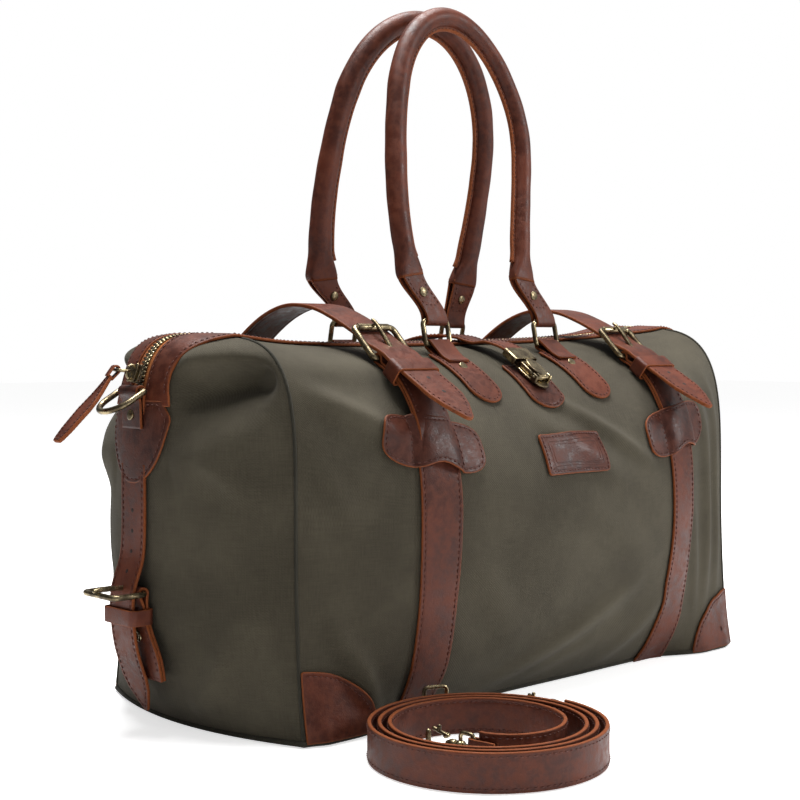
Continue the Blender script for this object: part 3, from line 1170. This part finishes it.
def handlePart(face, word):
    # one handle: two legs that spread by a quarter sine, half an ellipse over them, tabs at their feet
    size = handle
    z1 = size["top"] - size["arch"]
    k = np.linspace(0, 1, 60)
    legX = -footX - (size["archX"] - footX) * np.sin(k * np.pi / 2)
    leg = np.stack([legX, size["foot"] + (z1 - size["foot"]) * k], 1)
    a = np.radians(np.linspace(1.5, 178.5, 130))
    arch = np.stack([-size["archX"] * np.cos(a), z1 + size["arch"] * np.sin(a)], 1)
    line = evenly(np.vstack([leg, arch, leg[::-1] * [-1, 1]]), 2.2)
    # the roll is round, and is pressed flat and wide where it meets its tabs
    rise = smooth(size["foot"] + 1, size["foot"] + 26, line[:, 1])[:, None]
    t = np.radians(np.arange(28) * 360 / 28)[None]
    wob = 1 + 0.018 * np.sin(line[:, :1] / 9 + line[:, 1:] / 13) + 0.012 * np.sin(line[:, 1:] / 5.1)
    r = size["radius"] * wob
    wide = size["footWide"] + (r - size["footWide"]) * rise
    thick = size["footThick"] + (r - size["footThick"]) * rise
    power = 0.5 + 0.5 * rise
    shape = np.stack([wide * np.sign(np.cos(t)) * np.abs(np.cos(t)) ** power,
                      thick * np.sign(np.sin(t)) * np.abs(np.sin(t)) ** power], -1)
    path = inXZ(line)
    roll = sweep(path, (0, 1, 0), shape)
    ends = np.minimum(np.arange(len(line) + 2), np.arange(len(line) + 2)[::-1])
    roll["cut"] = np.repeat((ends < 2).astype(float), 28)
    # the seam is a narrow raw-edged flange on the inside of the arch
    n = unit(np.cross(np.broadcast_to([0, 1.0, 0], path.shape), unit(np.gradient(path, axis=0))))
    inward = n * np.where(np.sum(n * (inside - path), 1, keepdims=True) < 0, -1, 1)
    seam = path + inward * (np.maximum(wide, size["radius"]) + 1.0)
    keep = line[:, 1] > size["foot"] + 14
    section = slab(size["seamThick"], size["seamWide"], 0.6)
    flange = sweep(seam[keep], (0, 1, 0), section)
    sign = -1 if np.sum(inward[len(line) // 2] * n[len(line) // 2]) < 0 else 1
    flange["cut"] = np.tile((section[:, 0] * sign > 1.4).astype(float), len(flange["p"]) // len(section))
    parts = [roll, flange]
    for part in parts:
        part["p"] = stand(face, part["p"])
    sewn = []
    for k in (-1, 1):
        row = seam[keep] + inward[keep] * 0.2 + np.array([0, k * 1.75, 0])
        far = np.r_[0, np.cumsum(np.linalg.norm(np.diff(row, axis=0), axis=1))]

        def place(u, v, o, row=row, far=far, k=k):
            u, v, o = np.broadcast_arrays(np.asarray(u, float), np.asarray(v, float), np.asarray(o, float))
            p = np.stack([np.interp(v, far, row[:, j]) for j in range(3)], -1)
            return stand(face, p + o[..., None] * np.array([0, k, 0]))
        sewn.append(stitches([(0, 3), (0, far[-1] - 3)], place, 0.05))
    body = "handle_" + word
    makePiece("handle_roll_" + word, joined(*parts), redHide, body, [body])
    # folded tabs: a strip up one face, round the ring and up the other, riveted through
    tabs, rivets = [], []
    for side in (-1, 1):
        x = side * footX
        path = np.vstack([[(-3.1, 42), (-3.0, 30), (-2.3, 12)], arc((0, 0), 3.4, 200, 340, 14),
                          [(2.3, 12), (3.0, 30), (3.1, 42)]])
        strip = band(inYZ(curveThrough(path, 1.6), x), (1, 0, 0), 2.2, size["tabWide"])
        strip["p"] = stand(face, strip["p"])
        tabs.append(strip)
        for k in (-1, 1):
            def tabFace(u, v, o, k=k, x=x):
                u, v, o = np.broadcast_arrays(np.asarray(u, float), np.asarray(v, float), np.asarray(o, float))
                half = np.interp(v, (12, 30, 46), (2.3, 3.0, 3.1)) + 1.1
                return stand(face, np.stack([x + u, k * (half + o), v], -1))
            for row in ([(-8.4, 13), (-8.4, 34)], [(8.4, 13), (8.4, 34)], [(-8, 12.5), (8, 12.5)]):
                sewn.append(stitches(row, tabFace, 0.0))
            at = stand(face, [x, k * 4.0, 23])
            rivets.append(rivetAt(at, stand(face, [x, k * 5.0, 23]) - at))
    makePiece("handle_tab_hides_" + word, joined(*tabs), redHide, body, ["handle_tabs_" + word])
    makePiece("handle_rivets_" + word, joined(*rivets), brass, body)
    makePiece("handle_stitching_" + word, joined(*sewn), thread, body)
    inner = line[line[:, 1] > size["foot"] + 24]
    twist = size["rope"] + 0.25 * np.sin(np.arange(len(inner)) * 1.1)
    rope = tube(inXZ(inner), twist, (0, 1, 0), sides=14)
    rope["p"] = stand(face, rope["p"])
    makePiece("handle_rope_" + word, rope, ropeStuff, body, ["handle_core_" + word])


def rings():  # four rectangular rings with round corners, leaned over the ridge
    d = ringHigh - ringLow
    length = np.hypot(*d)
    up = d / length
    loop = evenly(rounded([(-14.1, 0), (14.1, 0), (14.1, length), (-14.1, length)], 4.5, 8), 1.2, closed=True)
    for face, word in ((-1, "front"), (1, "back")):
        for side, hand in ((-1, "left"), (1, "right")):
            y = ringLow[0] + up[0] * loop[:, 1]
            path = np.c_[side * footX + loop[:, 0], y if face < 0 else -y, ringLow[1] + up[1] * loop[:, 1]]
            name = "ring_%s_%s" % (word, hand)
            wire = tube(path, 2.2, (0, -up[1], up[0] * face), closed=True, sides=16)
            makePiece(name + "_wire", wire, brass, name, [name])


def handleChapes():  # a round-tipped patch on the side and a folded loop round each ring
    parts, sewn = [], []
    skin = sideSkin(-1)
    for face in (-1, 1):
        for side in (-1, 1):
            x = side * footX
            flat, upTo = onSide(face, x)
            top = sideSkin(face)(x, sAtY(x, 66.0))[2]
            low, high = upTo(236), upTo(float(top))
            outline = tongue(np.r_[roundTip(low + 16, low, 17)[::-1], [(high, 17)]]) + [x, 0]
            parts.append(hidePart(outline, ((x, low + 17), (x, high - 12)), flat, bag["lift"], bag["hide"]))
            sewn.append(stitches(insetLine(outline, 2.9), flat, hideTop))

            def over(y, gap, x=x):  # a point that stands a gap above the canvas
                return -y, float(skin(x, sAtY(x, float(y)))[2]) + gap
            line = np.vstack([over(84, 5.2), over(75, 5.4), arc(ringLow, 3.6, 140, -70, 12),
                              over(66, 2.0), over(74, 1.6)])
            path = inYZ(curveThrough(line, 1.4), x)
            if face > 0:
                path[:, 1] *= -1
            parts.append(band(path, (1, 0, 0), 2.2, 23))
    patch("handle_chape_hides", parts, sewn, redHide, ["handle_chapes"])


handlePart(-1, "front")
handlePart(1, "back")
rings()
handleChapes()
print("handles made")


# ends
ringSeat = np.array([324.5, 249.0])
endHeel = np.array([64.5, 103.0])


def outward(side, points, y=0.0):
    # (distance past the seam, height) to a point in the middle plane of an end
    p = np.asarray(points, float)
    return np.stack([side * (bag["seamX"] + p[:, 0]), np.full(len(p), float(y)), p[:, 1]], 1)


def aside(part):  # the loose chape swings towards the front below its keeper
    part["p"][:, 1] -= 11 * (1 - smooth(52, 88, part["p"][:, 2]))
    return part


def endPieces():
    # at each end: shield with its ring, hanging strap, buckle on a doubled chape, and keeper loop
    shields, shieldSewn, straps, strapSewn, chapes, chapeSewn = ([] for _ in range(6))
    keepers, frames, rivets, holes = [], [], [], []
    for side, word in ((-1, "left"), (1, "right")):
        flat = offsetFrom(endSkin(side))
        z = np.linspace(182, 242, 60)
        half = 33 * np.sqrt(np.clip(1 - (np.minimum(0, z - 232) / 50.5) ** 2, 0, 1))
        half = half - 6.5 * smooth(226, 242, z)
        outline = np.r_[np.stack([half, z], 1), np.stack([-half, z], 1)[::-1]]
        shields.append(hidePart(outline, ((-12, 222), (12, 226)), flat, 1.4, bag["hide"]))
        edge = insetLine(outline, 3)
        shieldSewn.append(stitches(edge[edge[:, 1] < 240], flat, 1.4 + bag["hide"]))
        loop = np.vstack([[(59.0, 224), (60.5, 236), (60.8, 243)],
                          arc(ringSeat, 3.6, 195, -60, 12) - [bag["seamX"], 0],
                          [(63.8, 241), (63.4, 232), (62.9, 222)]])
        shields.append(band(outward(side, curveThrough(loop, 1.5)), (0, 1, 0), 2.1, 24))
        # D ring: flat bar through the loop, its bow hanging outwards
        bow = np.r_[[(-16, 0), (-16, 12)], arc((0, 12), 16, 180, 0, 30)[1:], [(16, 0)]]
        bow = evenly(np.vstack([bow, [(0, 0)]]), 1.2, closed=True)
        a = np.radians(30)
        path = np.c_[side * (ringSeat[0] + bow[:, 1] * np.cos(a)), bow[:, 0],
                     ringSeat[1] - bow[:, 1] * np.sin(a)]
        wire = tube(path, 2.3, (side * np.sin(a), 0, np.cos(a)), closed=True, sides=16)
        makePiece("d_ring_%s_wire" % word, wire, brass, "d_ring_" + word, ["d_ring_" + word])
        line = [(61.5, 196), (61.9, 180), (61.9, 150), (63.4, 128), (69.5, 110), (71.5, 100), (71.5, 86),
                (68, 62), (59, 36), (50, 14)]
        path = outward(side, curveThrough(line, 2.0))
        length = onPath(path, (0, 1, 0))[1]
        place = placeTowards(path, (0, 1, 0), (side, 0, 0))
        outline = tongue([(0, 15), (length - 28, 15), (length - 18, 12.6), (length - 7, 6.5), (length, 2.0)])
        straps.append(strapPart(outline, place, 2.4))
        strapSewn.append(stitches(insetLine(outline, 2.8), place, 1.2))
        holes += [strapHole(place, 34.0 + 15 * k, 1.5, 1.1) for k in range(4)]
        under = curveThrough([(54.5, 40), (55.6, 46), (58.6, 62), (61.4, 84), (62.6, 96)], 2.0)
        t = unit(np.gradient(under, axis=0))
        n = np.stack([t[:, 1], -t[:, 0]], 1)
        around = np.vstack([under - n * 1.1, arc(endHeel, 3.7, 200, 10, 14), (under + n * 1.25)[::-1][2:]])
        chapes.append(aside(band(outward(side, evenly(around, 1.5)), (0, 1, 0), 2.1, 34)))
        place = placeTowards(outward(side, under + n * 1.25), (0, 1, 0), (side, 0, 0))
        box = rounded([(-14.2, 2), (14.2, 2), (14.2, 50), (-14.2, 50)], 2)
        chapeSewn.append(aside(stitches(box, place, 1.1, closed=True)))
        at = place(0.0, 33.0, 1.1)
        eyelet = [(2.6, -1), (2.6, 0.5), (3.2, 1.0), (4.6, 0.9), (5.2, 0.2), (5.2, -0.6), (2.6, -1)]
        frames.append(aside(turned(eyelet, at, place(0.0, 33.0, 2.1) - at, 30)))
        loop = rounded([(57.4, -18.6), (75.4, -18.6), (75.4, 18.6), (57.4, 18.6)], 4, 6)
        loop = evenly(loop, 1.2, closed=True)
        path = np.c_[side * (bag["seamX"] + loop[:, 0]), loop[:, 1], np.full(len(loop), 86.0)]
        keepers.append(band(path, (0, 0, 1), 2.0, 11.5, closed=True))
        loop = evenly(rounded([(0, -20), (27, -20), (27, 20), (0, 20)], 5, 8), 1.3, closed=True)
        path = np.c_[side * (bag["seamX"] + endHeel[0] + loop[:, 0]), loop[:, 1],
                     np.full(len(loop), endHeel[1])]
        frames.append(tube(path, 2.2, (0, 0, 1), closed=True, sides=16))
        hook = np.r_[arc((0, 0), 2.9, -170, -270, 12),
                     [(5, 3.0), (14, 3.6), (23, 4.1), (28, 3.7), (30.5, 3.2)]]
        path = outward(side, endHeel + curveThrough(hook, 1.2))
        k = np.linspace(0, 1, len(path))
        makePiece("end_prong_%s_wire" % word, tube(path, 1.9 - 0.5 * k ** 3, (0, 1, 0)), brass,
                  "end_prong_" + word, ["end_prong_" + word])
        at = outward(side, [(64.6, 232)])[0]
        rivets.append(rivetAt(at, (side * np.cos(np.radians(9)), 0, np.sin(np.radians(9)))))
    patch("end_shield_hides", shields, shieldSewn, darkHide, ["end_shields"])
    patch("end_strap_hides", straps, strapSewn, redHide, ["end_straps"])
    patch("end_chape_hides", chapes, chapeSewn, redHide, ["end_chapes"])
    makePiece("end_keeper_hides", joined(*keepers), redHide, "bag", ["end_keepers"])
    makePiece("end_buckle_wires", joined(*frames), brass, "bag", ["end_buckles"])
    makePiece("end_strap_holes", joined(*holes), holeStuff, "bag")
    for face in (-1, 1):
        place = offsetFrom(sideSkin(face))
        for side in (-1, 1):
            s = float(sAtY(float(footX), 86.0))
            at = place(side * footX, s, hideTop + 0.2)
            rivets.append(rivetAt(at, at - sideSkin(face)(side * footX, s)))
    makePiece("rivet_heads", joined(*rivets), brass, "bag", ["rivets"])


endPieces()
print("ends made")


# zip slider, ring and puller
pullRing = dict(radius=5.6, wire=1.15, away=(-11, 1))
puller = dict(away=(-48, -50), thick=3.0, eye=2.9, inset=1.9, pitch=3.4)


def zipHardware():
    # a slider of two plates and a bridge, square to the teeth on their turn, with its ring and puller
    size = zipSizes
    a = np.radians(size["sliderAngle"])
    e, f = np.array([-np.cos(a), np.sin(a)]), np.array([np.sin(a), np.cos(a)])
    mid = np.array([size["turnX"], size["turnZ"]])

    def place(u, v, o):  # u across, v along the zip, o outwards from the turn's middle
        u, v, o = np.broadcast_arrays(np.asarray(u, float), np.asarray(v, float), np.asarray(o, float))
        xz = mid + e * o[..., None] + f * v[..., None]
        return np.stack([xz[..., 0], u, xz[..., 1]], -1)
    outline = rounded([(-4.2, -7), (4.2, -7), (5.6, 3), (5.2, 7.4), (0, 5.2), (-5.2, 7.4), (-5.6, 3)], 1.4, 5)
    plates = [hidePart(outline, ((0, -3), (0, 2)), place, low, 1.5, step=0.8) for low in (40.0, 43.2)]
    neck = rounded([(-1.6, -4), (1.6, -4), (1.6, 4), (-1.6, 4)], 1, 4)
    plates.append(hidePart(neck, ((0, -1), (0, 1)), place, 41, 3.0, step=0.8))
    k = np.linspace(0, np.pi, 16)
    bridge = place(0 * k, 5.2 * np.cos(k), 44.4 + 4.6 * np.sin(k))
    plates.append(tube(bridge, 1.1, (0, 1, 0), sides=12))
    makePiece("zip_slider_body", joined(*plates), brass, "zip_slider", ["zip_slider"])
    lug = mid + e * (size["turnR"] + 2.6)
    pull = lug + pullRing["away"]
    centre, r = (lug + pull) / 2, pullRing["radius"]
    d = unit(pull - lug)
    k = np.radians(np.arange(0, 360, 9))
    ring = np.c_[centre[0] + r * np.cos(k) * d[0], r * np.sin(k), centre[1] + r * np.cos(k) * d[1]]
    makePiece("zip_pull_ring_wire", tube(ring, pullRing["wire"], (-d[1], 0, d[0]), closed=True), brass,
              "zip_pull_ring", ["zip_pull_ring"])
    tipAt = pull + puller["away"]
    d = unit(tipAt - pull)
    n = np.array([-d[1], d[0]])
    b = np.linspace(0, np.pi, 9)[:, None]
    loop = np.vstack([pull + d * 8 + n * 2.2, pull + puller["eye"] * (n * np.cos(b) - d * np.sin(b)),
                      pull + d * 8 - n * 2.2])
    top = band(inXZ(curveThrough(loop, 0.8)), (0, 1, 0), 1.4, 4.4)
    path = [pull + d * 6, pull + d * 26 + n * 1.2, pull + d * 48 + n * 0.6, tipAt]
    path = inXZ(curveThrough(path, 1.5))
    place, length = onPath(path, (0, 1, 0))
    outline = tongue([(0, 2.2), (6, 3.2), (24, 6.6), (32, 7.6), (52, 6.6), (length - 3, 5.0), (length, 3.6)])
    half = puller["thick"] / 2
    part = hidePart(outline, ((0, 4), (0, length - 6)), place, -half, puller["thick"], step=1.0)
    faces = [onPath(path, (0, 1, 0), flip)[0] for flip in (1, -1)]
    edge = insetLine(outline, puller["inset"])
    sewn = [stitches(edge, face, half, pitch=puller["pitch"]) for face in faces]
    makePiece("zip_puller_hide", joined(top, part), redHide, "zip_puller", ["zip_puller"])
    makePiece("zip_puller_stitching", joined(*sewn), thread, "zip_puller")


zipHardware()
print("zip hardware made")


# shoulder strap
coil = dict(at=(-186.0, -224.0), radius=84, pitch=7, turns=3.4, drawIn=30, wide=26, thick=2.8, inset=2.9)
coilEnd = 360 * coil["turns"]


def coilPoint(a):  # a spiral by its angle in degrees, a pitch wider each turn, its inner end drawn in
    a = np.asarray(a, float)
    inner = coil["drawIn"] * np.maximum(0, 1 - a / 200) ** 2
    r = coil["radius"] - coil["pitch"] * (coilEnd - a) / 360 - inner
    turn = np.radians(a - coilEnd)
    return coil["at"] + r[..., None] * np.stack([np.cos(turn), np.sin(turn)], -1)


def slingPlace(a, flip, points):
    # points beside the coil at an angle: along it, across it, up from mid height
    d = unit(coilPoint(a + 1) - coilPoint(a - 1))
    turn = np.arctan2(d[1], d[0]) + np.radians(flip)
    p = np.asarray(points, float)
    c, s = np.cos(turn), np.sin(turn)
    at = coilPoint(a)
    return np.stack([at[0] + p[..., 0] * c - p[..., 1] * s, at[1] + p[..., 0] * s + p[..., 1] * c,
                     coil["wide"] / 2 + p[..., 2]], -1)


def sling():  # the strap on edge along its spiral, with a folded loop at each end
    half = coil["wide"] / 2
    path = np.c_[coilPoint(np.linspace(0, coilEnd, 900)), np.full(900, half + 0.1)]
    place, length = onPath(path, (0, 0, 1))
    outline = tongue([(0, half), (length, half)], 2.0)
    part = hidePart(outline, ((0, 13), (0, length - 13)), place, -coil["thick"] / 2, coil["thick"], step=2.4)
    sewn = []
    for flip in (1, -1):
        face = onPath(path, (0, 0, 1), flip)[0]
        for u in (coil["inset"] - half, half - coil["inset"]):
            sewn.append(stitches([(u, 4), (u, length - 4)], face, coil["thick"] / 2))
    parts = [part]
    loop = curveThrough(np.vstack([[(-14, 2.2), (-6, 2.4), (0, 3.0)], arc((5, 0), 3.1, 90, -90, 9),
                                   [(0, -3.0), (-6, -2.4), (-14, -2.2)]]), 1.2)
    for a, flip in ((coilEnd, -8), (0, 180)):
        path = slingPlace(a, flip, np.c_[loop, np.zeros(len(loop))])
        parts.append(band(path, (0, 0, 1), 1.9, 15))
    makePiece("shoulder_strap_hide", joined(*parts), redHide, "shoulder_strap", ["shoulder_strap"])
    makePiece("shoulder_strap_stitching", joined(*sewn), thread, "shoulder_strap")


slingHook = dict(gateAt=(23.6, 5.3), gateAngle=75, gateLong=12, knobAt=7.6)


def slingHardware():
    # the adjusting buckle, and at each end a swivel eye and a snap hook, a half ring of wire with a gate
    at = coilEnd - 290
    loop = evenly(rounded([(-9, -14.6), (9, -14.6), (9, 14.6), (-9, 14.6)], 3.5, 6), 1.2, closed=True)
    path = slingPlace(at, 0, np.c_[loop[:, 0], np.full(len(loop), -3.3), loop[:, 1] + 3.6])
    side = slingPlace(at, 0, [0, 1, 0]) - slingPlace(at, 0, [0, 0, 0])
    makePiece("shoulder_buckle_wire", tube(path, 1.6, side, closed=True, sides=14), brass,
              "shoulder_strap", ["shoulder_buckle"])
    hook = curveThrough(np.r_[arc((-9, 0), 2.5, 60, -90, 10), [[0, -2.4], [9, -3.2], [12, -2.9]]], 1.0)
    path = slingPlace(at, 0, np.c_[hook[:, 0], hook[:, 1] - 3.3, np.zeros(len(hook))])
    makePiece("shoulder_prong_wire", tube(path, 1.2, (0, 0, 1)), brass,
              "shoulder_prong", ["shoulder_prong"])
    eyes = []
    for word, a, flip in (("outer", coilEnd, -8), ("inner", 0, 180)):
        def local(points, a=a, flip=flip):
            return slingPlace(a, flip, np.asarray(points, float) + [5, 0, 0])
        along, across = local([1, 0, 0]) - local([0, 0, 0]), local([0, 1, 0]) - local([0, 0, 0])

        def upright(p, local=local):  # (along, up) pairs in the strap's own plane
            return local(np.c_[p[:, 0], np.zeros(len(p)), p[:, 1]])
        loop = evenly(rounded([(0, -9.5), (11.5, -9.5), (11.5, 9.5), (0, 9.5)], 3.4, 6), 1.0, closed=True)
        eyes.append(tube(upright(loop), 1.5, across, closed=True, sides=14))
        collar = [(1.9, -2.4), (3.5, -2.4), (4.1, -1.6), (4.1, 1.6), (3.5, 2.4), (1.9, 2.4), (1.9, -2.4)]
        eyes.append(turned(collar, local([11.5, 0, 0]), along, 28))
        stem = [(0, 6.2), (2.6, 6.2), (2.6, 8.2), (1.5, 8.5), (1.5, 14.8), (3.2, 15.3), (3.7, 16.4),
                (3.7, 19.6), (2.9, 21.2), (0, 21.6)]
        bend = np.r_[arc((31, 0), 9, 180, 360, 40), [(40, 1.5), (40, 5.2)]]
        k = np.linspace(0, 1, len(bend))
        body = [turned(stem, local([0, 0, 0]), along, 28),
                tube(upright(bend), 2.45 - 0.5 * k, across, sides=14)]
        makePiece("hook_%s_metal" % word, joined(*body), brass, "hook_" + word, ["hook_" + word])
        g, turn = np.array([slingHook["gateAt"]]), np.radians(slingHook["gateAngle"])
        d, up = np.array([np.sin(turn), np.cos(turn)]), np.array([-np.cos(turn), np.sin(turn)])
        arm = g + d * np.linspace(0, slingHook["gateLong"], 8)[:, None]
        knob = g + d * slingHook["knobAt"] + up * np.array([[0], [1.6], [3.0]])
        pivot = [(0, -2.1), (1.6, -2.1), (1.9, -1.8), (1.9, 1.8), (1.6, 2.1), (0, 2.1)]
        gate = [tube(upright(arm), 1.4, across), turned(pivot, upright(g)[0], across, 24),
                tube(upright(knob), 1.5, across)]
        trigger = "trigger_" + word
        makePiece(trigger + "_gate", joined(*gate), brass, trigger, [trigger])
    makePiece("swivel_eye_wires", joined(*eyes), brass, "shoulder_strap", ["swivel_eyes"])


sling()
slingHardware()
print("shoulder strap made")


# floor, lights and camera
def plainFloor():
    # a wide pale floor, a little below the base so nothing touches it
    mesh = bpy.data.meshes.new("floor")
    corners = [(x, y, -0.0006) for x, y in ((-9, -9), (9, -9), (9, 9), (-9, 9))]
    mesh.from_pydata(corners, [], [(0, 1, 2, 3)])
    floor = bpy.data.objects.new("floor", mesh)
    bpy.context.scene.collection.objects.link(floor)
    made, tree, shader = newMaterial("paleFloor", 0.9)
    v = objectCoords(tree)
    shade = blendColour(tree, noise(tree, v, 3, 2), (0.93, 0.93, 0.93), (0.96, 0.96, 0.96))
    tree.links.new(shade, shader.inputs["Base Color"])
    shader.inputs["Specular IOR Level"].default_value = 0.1
    shader.inputs["Emission Color"].default_value = (1, 1, 1, 1)
    seen = tree.nodes.new("ShaderNodeLightPath").outputs["Is Camera Ray"]
    glow = maths(tree, "ADD", maths(tree, "MULTIPLY", seen, 0.55), 0.1)
    tree.links.new(glow, shader.inputs["Emission Strength"])
    mesh.materials.append(made)


def paleWorld(low=0.07, high=0.44):
    # soft light, dim from the left of the bag and brighter from its right and above; the camera sees white
    world = bpy.data.worlds.new("paleWorld")
    world.use_nodes = True
    tree = world.node_tree
    light, seen = tree.nodes["Background"], tree.nodes.new("ShaderNodeBackground")
    light.inputs["Color"].default_value = (1, 1, 1, 1)
    way = node(tree, "ShaderNodeVectorMath", operation="DOT_PRODUCT")
    tree.links.new(tree.nodes.new("ShaderNodeTexCoord").outputs["Generated"], way.inputs[0])
    way.inputs[1].default_value = (0.75, -0.3, 0.59)
    amount = node(tree, "ShaderNodeMapRange", [(way.outputs["Value"], "Value")])
    amount.interpolation_type = "SMOOTHSTEP"
    for key, value in (("From Min", -0.6), ("From Max", 0.8), ("To Min", low), ("To Max", high)):
        amount.inputs[key].default_value = value
    tree.links.new(amount.outputs[0], light.inputs["Strength"])
    seen.inputs["Color"].default_value, seen.inputs["Strength"].default_value = (1, 1, 1, 1), 1.0
    ray, mix = tree.nodes.new("ShaderNodeLightPath"), tree.nodes.new("ShaderNodeMixShader")
    tree.links.new(ray.outputs["Is Camera Ray"], mix.inputs[0])
    tree.links.new(light.outputs[0], mix.inputs[1])
    tree.links.new(seen.outputs[0], mix.inputs[2])
    tree.links.new(mix.outputs[0], tree.nodes["World Output"].inputs["Surface"])
    bpy.context.scene.world = world


def softLight(name, place, target, size, power):  # a round area lamp aimed at a point
    lamp = bpy.data.lights.new(name, "AREA")
    lamp.shape, lamp.size, lamp.energy = "DISK", size, power
    made = bpy.data.objects.new(name, lamp)
    made.location = place
    made.rotation_euler = (Vector(target) - Vector(place)).to_track_quat("-Z", "Y").to_euler()
    bpy.context.scene.collection.objects.link(made)


def studioCamera():  # stands level off the front left corner, a little above the middle of the bag
    data = bpy.data.cameras.new("studioCamera")
    data.lens, data.sensor_width, data.shift_y = 66.15, 36, -0.069
    made = bpy.data.objects.new("studioCamera", data)
    made.location = (-0.922, -0.9145, 0.283)
    made.rotation_euler = (np.pi / 2, 0, np.radians(-43.5))
    bpy.context.scene.collection.objects.link(made)
    bpy.context.scene.camera = made


plainFloor()
paleWorld()
softLight("overhead", (0.05, 0.15, 1.9), (0, 0, 0.1), 1.2, 62)
softLight("key", (1.5, -1.8, 1.2), (0.05, 0, 0.15), 0.8, 25)
studioCamera()
bpy.context.scene.view_settings.view_transform = "Standard"
